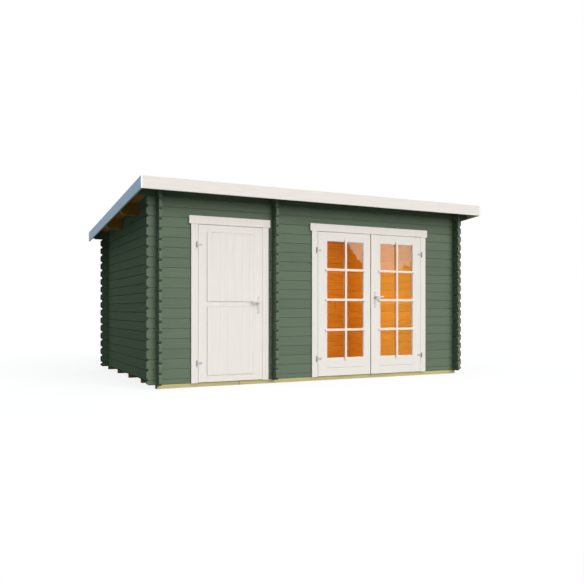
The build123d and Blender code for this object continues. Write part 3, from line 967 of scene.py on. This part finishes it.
@dataclass
class LockSet:
    """Round ended plates on both faces of a leaf, with their screws and the lock cylinder."""

    shop: Workshop
    node: str
    lever: str
    body: str
    thickness: float = 0.004
    ease: float = 0.0012
    arc_steps: int = 12  # in each round end
    screw_inset: float = 0.013
    screw: Span = (0.0042, 0.0012)
    cylinder_drop: float = 0.072  # under the lever
    cylinder_radius: float = 0.0085
    cylinder_proud: float = 0.003
    flange: Box = (-0.005, 0.005, 0.0, 0.0, -0.0245, -0.004)  # round the cylinder's middle
    slot: tuple[float, float, float] = (0.0011, 0.0004, 0.0045)  # half width, rise, half height

    def build(self) -> None:
        """Build the two plates and what they carry."""
        low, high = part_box(self.node)
        middle = (low.x + high.x) / 2
        turn = next(joint for joint in frame["joints"] if joint["child"] == self.lever)["pos_m"]
        centre = turn[2] - self.cylinder_drop
        wide, rise, tall = self.slot
        parts = []
        for side, seat in ((-1, LEAF_FACE), (1, LEAF_BACK)):
            top = seat + side * self.thickness
            front = top + side * self.cylinder_proud
            shape, slot = bmesh.new(), bmesh.new()
            self.plate(shape, middle, middle - low.x, (low.z, high.z), seat, side)
            self.cylinder(shape, middle, centre, seat + side * self.thickness / 2, front)
            even_normals(shape)
            block(slot, (middle - wide, middle + wide, *sorted((front, front + side * rise)),
                         centre - tall, centre + tall))
            places = [(middle, top, low.z + self.screw_inset),
                      (middle, top, high.z - self.screw_inset)]
            parts += [new_object(f"{self.node}_{side}", shape, self.shop.finishes["aluminium"]),
                      self.shop.heads("screws", places, self.screw, (0.0, float(side), 0.0)),
                      new_object("keyway", slot, self.shop.finishes["keyway"])]
        mount(join(parts, f"{self.node}_round_ended"), self.body, "lock_metal", self.node)

    def plate(self, shape: Shape, middle: float, half: float, z: Span, seat: float,
              side: int) -> None:
        """Add one plate with its front edge eased.

        Args:
            shape: mesh that it is added to.
            middle: the plate's centre line.
            half: half its width.
            z: its bottom and top.
            seat: y of the leaf's face.
            side: -1 outside, 1 inside.
        """
        loops = []
        for out, inward in ((0.0, 0.0), (self.thickness - self.ease, 0.0),
                            (self.thickness, self.ease)):
            loop = []
            for centre, first in ((z[1] - half, 0.0), (z[0] + half, math.pi)):
                for step in range(self.arc_steps + 1):
                    angle = first + math.pi * step / self.arc_steps
                    loop.append(shape.verts.new((middle + (half - inward) * math.cos(angle),
                                                 seat + side * out,
                                                 centre + (half - inward) * math.sin(angle))))
            loops.append(loop)
        for lower, upper in zip(loops, loops[1:]):
            skin(shape, lower, upper)
        shape.faces.new(loops[0][::-1])
        shape.faces.new(loops[-1])

    def cylinder(self, shape: Shape, x: float, z: float, back: float, front: float) -> None:
        """Add the lock cylinder's round end and its flange.

        Args:
            shape: mesh that they are added to.
            x: the cylinder's centre.
            z: its height.
            back: y inside the plate where they start.
            front: y of the cylinder's face.
        """
        place = Matrix.Translation((x, (front + back) / 2, z))
        bmesh.ops.create_cone(shape, cap_ends=True, segments=24, radius1=self.cylinder_radius,
                              radius2=self.cylinder_radius, depth=abs(front - back),
                              matrix=place @ Matrix.Rotation(math.pi / 2, 4, "X"))
        x0, x1, _, _, z0, z1 = self.flange
        ends = sorted((back, front - math.copysign(HAIR, front - back)))
        block(shape, (x + x0, x + x1, *ends, z + z0, z + z1))


@dataclass
class HingeScrews:
    """Screws in the wings of one leaf's two hinges."""

    shop: Workshop
    node: str
    body: str
    side: int
    heights: Span = (0.2725, 1.6275)
    insets: Span = (0.009, 0.031)  # from the wing's tip
    wing: float = 0.003
    size: Span = (0.0046, 0.0013)

    def build(self) -> None:
        """Build the screw heads, two to a wing."""
        low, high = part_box(self.node)
        tip = high.x if self.side > 0 else low.x
        places = [(tip - self.side * inward, LEAF_FACE - self.wing, z)
                  for z in self.heights for inward in self.insets]
        heads = self.shop.heads(f"{self.node}_screws", places, self.size, (0.0, -1.0, 0.0))
        mount(heads, self.body, "hinge_steel")


@dataclass
class Roof:
    """Laps of the felt and their nails."""

    shop: Workshop
    first_lap: float = 0.62  # from the front edge
    lap_pitch: float = 0.96
    lap_count: int = 3
    lap_width: float = 0.075
    lap_rise: float = 0.0025
    lap_inset: float = 0.001  # from the felt's ends
    lap_ease: float = 0.0008
    nail_line: float = 0.055  # from a lap's front edge
    nail_margin: float = 0.05  # from the felt's ends
    nail_pitch: float = 0.1
    nail_count: int = 46  # in a lap
    nail: Span = (0.0055, 0.0011)

    def felt_top(self, y: float) -> float:
        """Give the height of the felt's upper face at y."""
        low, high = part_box("roof_felt")
        return high.z - (y - low.y) * ROOF_FALL

    def build(self) -> None:
        """Build the laps and nails."""
        low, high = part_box("roof_felt")
        first = low.y + self.first_lap
        section = bmesh.new()
        block(section, (low.x + self.lap_inset, high.x - self.lap_inset, 0.0, self.lap_width, 0.0,
                        self.lap_rise), self.lap_ease)
        for vertex in section.verts:
            vertex.co.z += self.felt_top(first) - vertex.co.y * ROOF_FALL
            vertex.co.y += first
        step = (0.0, self.lap_pitch, -self.lap_pitch * ROOF_FALL)
        mount(self.shop.repeat("felt_laps", section, self.lap_count, step, "felt"), "cabin",
              "roofing_felt")
        lines = [first + lap * self.lap_pitch + self.nail_line for lap in range(self.lap_count)]
        places = [(low.x + self.nail_margin + nail * self.nail_pitch, y,
                   self.felt_top(y) + self.lap_rise)
                  for y in lines for nail in range(self.nail_count)]
        nails = self.shop.heads("felt_clout_nails", places, self.nail, (0.0, ROOF_FALL, 1.0))
        mount(nails, "cabin", "roofing_felt")


@dataclass
class LogTongues:
    """The tongue along each log's upper edge, which closes the joint to the next one."""

    shop: Workshop
    inset: float = 0.008  # from the wall's outer face
    thickness: float = 0.008
    reach: float = 0.002  # over and under the joint
    margin: float = 0.002  # from the wall's ends
    highest: float = 2.0

    def build(self) -> None:
        """Build the tongues of the four outer walls."""
        for wall, finish, lay, inward in (
                ("front_wall_left", "front_logs", Lays.FRONT_LOGS, 1),
                ("front_wall_middle", "front_logs", Lays.FRONT_LOGS, 1),
                ("front_wall_right", "front_logs", Lays.FRONT_LOGS, 1),
                ("back_wall", "back_logs", Lays.FRONT_LOGS, -1),
                ("left_wall", "left_logs", Lays.SIDE_LOGS, 1),
                ("right_wall", "right_logs", Lays.SIDE_LOGS, -1)):
            low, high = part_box(wall)
            across = lay is Lays.FRONT_LOGS
            outer = (WALL_HALF_DEPTH if across else WALL_HALF_LENGTH) - self.inset
            faces = sorted((-inward * outer, -inward * (outer - self.thickness)))
            if across:
                plan = (max(low.x, -WALL_HALF_LENGTH) + self.margin,
                        min(high.x, WALL_HALF_LENGTH) - self.margin, *faces)
            else:
                plan = (*faces, self.margin - WALL_HALF_DEPTH, WALL_HALF_DEPTH - self.margin)
            start, pitch = lay.value.start, lay.value.pitch
            section = bmesh.new()
            block(section, (*plan, start - self.reach, start + self.reach))
            count = 1 + int((min(high.z, self.highest) - start - self.reach) / pitch)
            mount(self.shop.repeat(f"{wall}_tongues", section, count, (0.0, 0.0, pitch), finish),
                  "cabin", "painted_logs")


@dataclass
class DraughtStrips:
    """White strips in the gap round each doorway's leaves, set back from their faces."""

    shop: Workshop
    set_back: float = 0.0015
    depth: float = 0.010
    width: float = 0.004
    ease: float = 0.0008

    def build(self) -> None:
        """Build the strips of both doorways, up both sides and along the head."""
        y0 = LEAF_FACE + self.set_back
        y1 = y0 + self.depth
        for door, first, last in (("store_door", "store_door_leaf", "store_door_leaf"),
                                  ("room_door", "left_leaf", "right_leaf")):
            low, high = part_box(first)[0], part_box(last)[1]
            x0, x1, top = low.x - LEAF_GAP, high.x + LEAF_GAP, high.z + LEAF_GAP
            inner0, inner1 = x0 + self.width, x1 - self.width
            shape = bmesh.new()
            for box in ((x0, inner0, y0, y1, low.z, top), (inner1, x1, y0, y1, low.z, top),
                        (inner0, inner1, y0, y1, top - self.width, top)):
                block(shape, box, self.ease)
            mount(new_object(f"{door}_draught_strips", shape, self.shop.finishes["white_upright"]),
                  "cabin", "white_joinery")


@dataclass
class CasingNails:
    """Painted nail heads in the casings' boards."""

    shop: Workshop
    lowest: float = 0.12
    pitch: float = 0.34
    count: int = 6  # in an upright board
    inset: float = 0.045  # from the outer edge of an upright board
    head_inset: float = 0.05  # from the ends of a head board
    head_drop: float = 0.046  # under its upper edge
    head_pitch: float = 0.35  # about, in a head board
    size: Span = (0.0036, 0.0005)

    def build(self) -> None:
        """Build the heads on both casings."""
        for node in ("store_door_casing", "room_door_casing"):
            low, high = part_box(node)
            places = [(x, LEAF_FACE, self.lowest + step * self.pitch)
                      for x in (low.x + self.inset, high.x - self.inset)
                      for step in range(self.count)]
            gaps = round((high.x - low.x) / self.head_pitch)
            span = high.x - low.x - 2 * self.head_inset
            places += [(low.x + self.head_inset + step * span / gaps, low.y,
                        high.z - self.head_drop) for step in range(gaps + 1)]
            mount(self.shop.heads(f"{node}_nails", places, self.size, (0.0, -1.0, 0.0),
                                  "white_upright"), "cabin", "white_joinery")


class Cabin:
    """The whole cabin: the CAD nodes' finishes and the pieces added to them."""

    NODE_FINISHES = {
        "front_logs": ("front_wall_left", "front_wall_middle", "front_wall_right",
                       "front_wall_over_doors", "front_top_log"),
        "back_logs": ("back_wall", "back_top_log"),
        "left_logs": ("left_wall",),
        "partition_logs": ("partition_wall",),
        "right_logs": ("right_wall",),
        "bearers": tuple(f"bearer_{index}" for index in range(1, 6)),
        "floor": ("store_floor", "room_floor"),
        "purlins": ("front_purlin", "rear_purlin"),
        "roof_boards": ("roof_deck",),
        "felt": ("roof_felt",),
        "white_along": ("front_fascia", "back_fascia"),
        "white_across": ("left_barge_board", "right_barge_board"),
        "white_upright": ("store_door_frame", "store_door_casing", "room_door_frame",
                          "room_door_casing", "store_door_panels", "cover_strip"),
        "store_leaf": ("store_door_leaf",),
        "left_leaf": ("left_leaf",),
        "right_leaf": ("right_leaf",),
        "glass": ("left_leaf_glass", "right_leaf_glass"),
        "zinc": ("store_hinge_pins", "store_hinge_wings", "room_hinge_pins", "left_hinge_wings",
                 "right_hinge_wings"),
        "aluminium": ("store_lock_plates", "store_lever", "room_lock_plates", "room_lever"),
    }

    def build(self) -> None:
        """Dress every CAD node, then add the pieces that scene.py makes."""
        shop = Workshop(Finishes(), row_tree(), heads_tree())
        for name, nodes in self.NODE_FINISHES.items():
            for node in nodes:
                for place in frame["nodes"][node].material_slots:
                    place.link = "OBJECT"
                    place.material = shop.finishes[name]
        for assembly in (GlazedLeaf(shop, "left_leaf"), GlazedLeaf(shop, "right_leaf"),
                         StorePanels(shop),
                         LockSet(shop, "store_lock_plates", "store_lever", "store_door"),
                         LockSet(shop, "room_lock_plates", "room_lever", "right_leaf"),
                         HingeScrews(shop, "store_hinge_wings", "store_door", 1),
                         HingeScrews(shop, "left_hinge_wings", "left_leaf", 1),
                         HingeScrews(shop, "right_hinge_wings", "right_leaf", -1),
                         Roof(shop), LogTongues(shop), DraughtStrips(shop), CasingNails(shop)):
            assembly.build()


def plainly_seen(tree: Tree) -> Source:
    """Mark what the eye sees, straight, in a reflection or through glass.

    Args:
        tree: the material's or the world's tree.

    Returns:
        A mask that is 1 for those rays, and 0 for those that only light the cabin.
    """
    path = add(tree, "LightPath").outputs
    mask = path["Is Camera Ray"]
    for ray in ("Is Glossy Ray", "Is Transmission Ray"):
        mask = add(tree, "Math", {0: mask, 1: path[ray]}, operation="MAXIMUM")
    return mask


@dataclass
class MirrorPanel:
    """A panel before the doors that only mirror reflections show.

    It is bright above a ragged edge, which steps up at both ends, and dull below it.
    """

    centre: tuple[float, float, float] = (2.4, -3.2, 1.15)
    half: Span = (3.6, 1.15)
    edge: Span = (1.325, 1.345)  # heights where the bright part starts and is whole
    edge_lift: float = 0.35  # of the ragged line
    edge_scale: float = 9.0
    left_step: tuple[Span, float] = ((1.40, 1.83), 0.49)  # where it falls to 0, and from what
    right_step: tuple[Span, float] = ((2.43, 2.69), 0.16)  # where it rises from 0, and to what
    dull_step: Span = (1.85, 1.95)  # where the dull part grows brighter
    dull: Span = (0.02, 0.85)
    bright: float = 2.4

    def build(self) -> None:
        """Build the panel."""
        shape = bmesh.new()
        bmesh.ops.create_grid(shape, x_segments=1, y_segments=1, size=1.0)
        bmesh.ops.transform(shape, verts=shape.verts, matrix=Matrix.Translation(self.centre)
                            @ Matrix.Rotation(math.pi / 2, 4, "X")
                            @ Matrix.Diagonal((*self.half, 1, 1)))
        material, tree = new_material("reflected panel")
        self.draw(tree)
        panel = new_object("reflected_panel", shape, material)
        panel.visible_camera = panel.visible_diffuse = panel.visible_shadow = False

    def draw(self, tree: Tree) -> None:
        """Draw its glow, which is clear for all but mirror reflections.

        Args:
            tree: the material's tree.
        """
        place = add(tree, "TexCoord").outputs["Object"]
        axes = add(tree, "SeparateXYZ", {0: place}).outputs
        ragged = add(tree, "TexNoise", {"Vector": place, "Scale": self.edge_scale, "Detail": 4.0})
        (left0, left1), left_height = self.left_step
        (right0, right1), right_height = self.right_step
        left = add(tree, "MapRange", {0: axes[0], 1: left0, 2: left1, 3: left_height, 4: 0.0})
        right = add(tree, "MapRange", {0: axes[0], 1: right0, 2: right1, 4: right_height})
        line = add(tree, "Math", {0: left, 1: right}, operation="ADD")
        line = add(tree, "Math", {0: ragged, 1: self.edge_lift, 2: line}, operation="MULTIPLY_ADD")
        above = add(tree, "Math", {0: axes[2], 1: line}, operation="SUBTRACT")
        upper = add(tree, "MapRange", {0: above, 1: self.edge[0], 2: self.edge[1]})
        lower = add(tree, "MapRange", {0: axes[0], 1: self.dull_step[0],
                                                 2: self.dull_step[1], 3: self.dull[0],
                                                 4: self.dull[1]})
        strength = add(tree, "Mix", {0: upper, 2: lower, 3: self.bright})
        hue = coats(tree, "#e4ff96", (upper, "#d4fff4"))
        glow = add(tree, "Emission", {0: hue, 1: strength})
        path = add(tree, "LightPath").outputs
        mirrored = add(tree, "Math", {0: path["Glossy Depth"], 1: path["Is Singular Ray"]},
                       operation="MULTIPLY", use_clamp=True)
        clear = add(tree, "BsdfTransparent")
        both = add(tree, "MixShader", {0: mirrored, 1: clear, 2: glow})
        add(tree, "OutputMaterial", {0: both})


@dataclass
class Studio:
    """Camera, floor, lamps and surroundings."""

    focal: float = 40.62
    eye: tuple[float, float, float] = (-4.0014, -8.6273, 0.8801)
    heading: float = -26.31  # degrees
    rise: float = 0.0308  # the lens's shift
    key: float = 2.7
    edge: float = 1.0
    horizon: float = 0.03  # strength of the surroundings' light there
    zenith: float = 1.5
    floor_radius: float = 24.0
    floor_drop: float = 0.0012
    floor_fade: Span = (3.0, 9.0)  # how far out it turns plain white
    floor_glow: float = 0.84  # share of plain white near the cabin, which softens the shadow

    def build(self) -> None:
        """Build all of it."""
        self.camera()
        self.floor()
        self.lamps()
        MirrorPanel().build()
        self.world()
        bpy.context.scene.view_settings.view_transform = "Standard"

    def camera(self) -> None:
        """Stand the camera where the photograph was taken."""
        lens = bpy.data.cameras.new("camera")
        lens.lens, lens.sensor_width, lens.shift_y = self.focal, 36.0, self.rise
        camera = bpy.data.objects.new("camera", lens)
        camera.location = self.eye
        camera.rotation_euler = (math.radians(90), 0.0, math.radians(self.heading))
        bpy.context.scene.collection.objects.link(camera)
        bpy.context.scene.camera = camera

    def floor(self) -> None:
        """Lay a pale floor that fades to the white surroundings and keeps the cabin's shadow."""
        shape = bmesh.new()
        bmesh.ops.create_circle(shape, cap_ends=True, segments=96, radius=self.floor_radius)
        material, tree = new_material("pale studio floor")
        place = add(tree, "TexCoord").outputs["Object"]
        far = add(tree, "VectorMath", {0: place}, operation="LENGTH")
        fade = add(tree, "MapRange", {0: far, 1: self.floor_fade[0],
                                                2: self.floor_fade[1]},
                   interpolation_type="SMOOTHSTEP")
        seen = plainly_seen(tree)
        matt = add(tree, "BsdfDiffuse", {0: coats(tree, "#697c73", (seen, "#fdfdfd"))})
        glow = add(tree, "Emission", {0: "#ffffff", 1: 1.0})
        near = add(tree, "MapRange", {0: fade, 3: self.floor_glow, 4: 1.0})
        amount = add(tree, "Math", {0: near, 1: seen}, operation="MULTIPLY")
        mixed = add(tree, "MixShader", {0: amount, 1: matt, 2: glow})
        add(tree, "OutputMaterial", {0: mixed})
        floor = new_object("floor", shape, material)
        floor.location.z = -self.floor_drop

    @staticmethod
    def lamp(name: str, kind: str, turn: Place, **settings) -> Piece:
        """Add a lamp.

        Args:
            name: the lamp's name.
            kind: SUN or AREA.
            turn: how it is turned, in radians.
            settings: the light's own properties.

        Returns:
            The lamp.
        """
        light = bpy.data.lights.new(name, kind)
        for setting, value in settings.items():
            setattr(light, setting, value)
        lamp = bpy.data.objects.new(name, light)
        lamp.rotation_euler = turn
        bpy.context.scene.collection.objects.link(lamp)
        return lamp

    def lamps(self) -> None:
        """Light the front softly from the right, and the two rooms from under their roof."""
        self.lamp("key", "SUN", (math.radians(66.0), 0.0, math.radians(19.0)), energy=self.key,
                  color=(1.0, 0.98, 0.98), angle=math.radians(48.0))
        edge = self.lamp("cool edge lamp", "SUN", (math.radians(60.0), 0.0, math.radians(-90.0)),
                         energy=self.edge, color=(0.0, 0.31, 0.86), angle=math.radians(30.0))
        boards = bpy.data.collections.new("barge boards")
        for node in ("left_barge_board", "right_barge_board"):
            boards.objects.link(frame["nodes"][node])
        edge.light_linking.receiver_collection = boards
        for name, place, target, size, power in (
                ("room lamp", (0.2, -0.4, 1.3), (1.15, 1.2, 0.45), 1.0, 50.0),
                ("store lamp", (-1.38, -0.1, 1.95), (-1.38, 0.4, 0.2), 0.8, 20.0)):
            facing = (Vector(target) - Vector(place)).to_track_quat("-Z", "Y").to_euler()
            lamp = self.lamp(name, "AREA", facing, size=size, energy=power)
            lamp.location = place
            lamp.visible_camera = lamp.visible_glossy = lamp.visible_transmission = False

    def world(self) -> None:
        """Surround it with white for the eye, and light it softly, more from overhead."""
        world = bpy.data.worlds.new("surroundings")
        world.use_nodes = True
        bpy.context.scene.world = world
        tree = world.node_tree
        tree.nodes.clear()
        way = add(tree, "TexCoord").outputs["Generated"]
        up = add(tree, "SeparateXYZ", {0: way}).outputs[2]
        square = add(tree, "Math", {0: up, 1: up}, operation="MULTIPLY")
        strength = add(tree, "MapRange", {0: square, 3: self.horizon, 4: self.zenith})
        light = add(tree, "Background", {0: "#f1fdf9", 1: strength})
        plain = add(tree, "Background", {0: "#ffffff", 1: 1.0})
        mixed = add(tree, "MixShader", {0: plainly_seen(tree), 1: light, 2: plain})
        add(tree, "OutputWorld", {0: mixed})


def main() -> None:
    """Build the cabin and the studio."""
    logging.basicConfig(level=logging.INFO, format="%(name)s: %(message)s")
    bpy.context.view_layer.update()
    Studio().build()
    Cabin().build()


if __name__ == "__main__":
    main()
